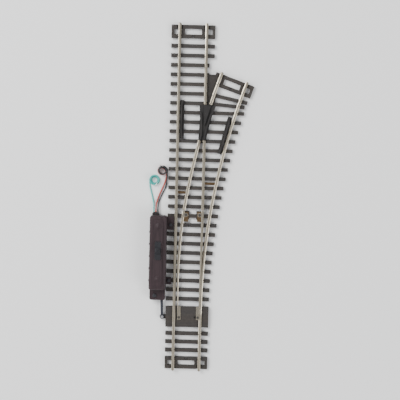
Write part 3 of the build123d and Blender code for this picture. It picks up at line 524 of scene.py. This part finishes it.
def machine_trim():
    """Ribs down the machine's outer wall and two flat bosses on its ridge."""
    bm = bmesh.new()
    for y in RIB_YS:
        outline_prism(bm, RIB_OUTLINE,
                      lambda point, end, y=y: (point[0], y + RIB_HALF * (2 * end - 1), point[1]))
    for y in BOSS_YS:
        bolt_head(bm, COIL_X, y, RIDGE_TOP - SUNK, RIDGE_TOP + 0.3, radius=1.9, sides=32)
        bolt_head(bm, COIL_X, y, RIDGE_TOP + 0.3 - SUNK, RIDGE_TOP + 0.5, radius=0.9, sides=24)
    return make_piece("machine_trim", bm, "housing_plastic", TRACK)


frog_bolts()
guard_bolts()
machine_trim()


# Leads: the free wires, on the routes that the CAD tubes have, each wound into a small loose coil

WIRE = 0.9
REST = WIRE / 2 + 0.02
EXITS = [-23.3, -22.0, -20.7]
COMB_END = 105.5
EXIT_Z = 2.0
LAYER = 0.92
TURN_OUTER, TURN_INNER, TURN_PITCH = 3.2, 2.1, 1.0
LAYER_TURNS = (TURN_OUTER - TURN_INNER) / TURN_PITCH
CLIMB = 0.4
TURN_STEPS = 16
TIP_OFFSET = 0.4
ROUTES = {
    "green": [(EXITS[0], COMB_END, EXIT_Z), (EXITS[0], 108.6, 1.8), (-23.7, 112.6, REST),
              (-25.0, 117.6, REST), (-26.3, 122.4, REST), (-26.4, 126.6, REST)],
    "red": [(EXITS[1], COMB_END, EXIT_Z), (EXITS[1], 108.8, 1.8), (-21.5, 112.8, REST),
            (-19.4, 118.2, REST), (-17.0, 123.4, REST), (-15.6, 128.1, REST), (-15.25, 132.5, REST)],
    "black": [(EXITS[2], COMB_END, EXIT_Z), (EXITS[2], 108.7, 1.8), (-20.1, 112.7, REST),
              (-17.9, 117.6, REST), (-15.5, 122.6, REST), (-15.0, 127.9, 1.45),
              (-14.95, 132.8, REST + 2 * LAYER)],
}
COILS = {
    "green": {"layers": 3, "turns": 3.6, "side": -1, "length": 0.082},
    "red": {"layers": 2, "turns": 2.05, "side": 1, "length": 0.060},
    "black": {"layers": 2, "turns": 2.2, "side": 1, "length": 0.063},
}


def turn_at(done, layers):
    """A coil's radius and rise after some turns: in along a layer, up, out along the next, and so on."""
    cycle = LAYER_TURNS + CLIMB
    layer = min(int(done / cycle), layers - 1)
    spent = done - layer * cycle
    along = min(spent, LAYER_TURNS) * TURN_PITCH
    radius = TURN_OUTER - along if layer % 2 == 0 else TURN_INNER + along
    climbed = max(0.0, spent - LAYER_TURNS) / CLIMB
    return radius, LAYER * (layer + climbed)


def coil_points(start, layers, turns, side):
    """The turns that carry a route's line on from its last point, and a short straight for the tip."""
    points = []
    x, y, level = start
    count = round(turns * TURN_STEPS)
    for step in range(1, count + 1):
        done = turns * step / count
        radius, rise = turn_at(done, layers)
        angle = side * math.tau * done
        out = Vector((side * math.cos(angle), side * math.sin(angle)))
        points.append((x - side * TURN_OUTER + radius * out.x, y + radius * out.y, level + rise))
    end = Vector(points[-1])
    along = Vector((-out.y, out.x, 0.0)) * side
    return points + [tuple(end + along * TIP_OFFSET)]


def lead(colour):
    """One insulated wire: a smooth line through its route's control points."""
    coil = COILS[colour]
    route = ROUTES[colour]
    points = route + coil_points(route[-1], coil["layers"], coil["turns"], coil["side"])
    curve = bpy.data.curves.new(f"lead_{colour}_insulation", "CURVE")
    curve.dimensions = "3D"
    spline = curve.splines.new("NURBS")
    spline.points.add(len(points) - 1)
    for control, point in zip(spline.points, points):
        control.co = (*(MM * value for value in point), 1.0)
    spline.order_u = 3
    spline.use_endpoint_u = True
    spline.resolution_u = 12
    curve.bevel_depth = WIRE / 2 * MM
    curve.bevel_resolution = 5
    curve.use_fill_caps = True
    wire = bpy.data.objects.new(f"lead_{colour}_insulation", curve)
    bpy.context.scene.collection.objects.link(wire)
    dress(wire, f"wire_{colour}")
    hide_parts(f"lead_{colour}", f"lead_coil_{colour}")
    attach(wire, TRACK)


for lead_colour in ROUTES:
    lead(lead_colour)


# Stage, light and camera

CENTRE = (Vector(CAD_BOX[0]) + Vector(CAD_BOX[1])) / 2
FLOOR_Z = -0.00004


def floor():
    s = Shader("floor_paper")
    s.set(Base_Color=rgba((0.93, 0.93, 0.925)), Roughness=0.75)
    bm = bmesh.new()
    bmesh.ops.create_grid(bm, x_segments=2, y_segments=2, size=2.5)
    mesh = bpy.data.meshes.new("floor")
    bm.to_mesh(mesh)
    bm.free()
    mesh.materials.append(s.material)
    sheet = bpy.data.objects.new("floor", mesh)
    sheet.location = (CENTRE.x, CENTRE.y, FLOOR_Z)
    bpy.context.scene.collection.objects.link(sheet)


def softbox(name, place, target, size, power):
    """A square area light that faces a point."""
    light = bpy.data.lights.new(name, "AREA")
    light.shape = "SQUARE"
    light.size = size
    light.energy = power
    lamp = bpy.data.objects.new(name, light)
    lamp.location = place
    lamp.rotation_euler = (Vector(target) - Vector(place)).to_track_quat("-Z", "Y").to_euler()
    bpy.context.scene.collection.objects.link(lamp)


def studio():
    world = bpy.data.worlds.new("studio")
    bpy.context.scene.world = world
    world.use_nodes = True
    world.node_tree.nodes["Background"].inputs[0].default_value = (0.86, 0.87, 0.89, 1.0)
    world.node_tree.nodes["Background"].inputs[1].default_value = 0.70
    softbox("key", (CENTRE.x - 0.75, CENTRE.y + 0.65, 1.0), CENTRE, 0.7, 20.0)
    softbox("left_fill", (CENTRE.x - 1.1, CENTRE.y - 0.4, 0.7), CENTRE, 0.8, 8.0)
    softbox("right_fill", (CENTRE.x + 1.0, CENTRE.y - 0.5, 0.8), CENTRE, 0.7, 9.0)


def camera():
    """Straight above, turned a little, so that the track leans to the right as it goes up the picture."""
    distance, tilt, roll = 0.55, math.radians(4.0), math.radians(1.37)
    back = Vector((0.0, math.sin(tilt), math.cos(tilt)))
    right = Vector((math.cos(roll), math.sin(roll), 0.0))
    right = (right - back * right.dot(back)).normalized()
    up = back.cross(right)
    data = bpy.data.cameras.new("camera")
    data.lens = 76.0
    data.sensor_width = 36.0
    data.clip_start, data.clip_end = 0.01, 20.0
    view = bpy.data.objects.new("camera", data)
    turn = Matrix((right, up, back)).transposed()
    view.matrix_world = Matrix.Translation(CENTRE + back * distance) @ turn.to_4x4()
    bpy.context.scene.collection.objects.link(view)
    bpy.context.scene.camera = view


floor()
studio()
camera()
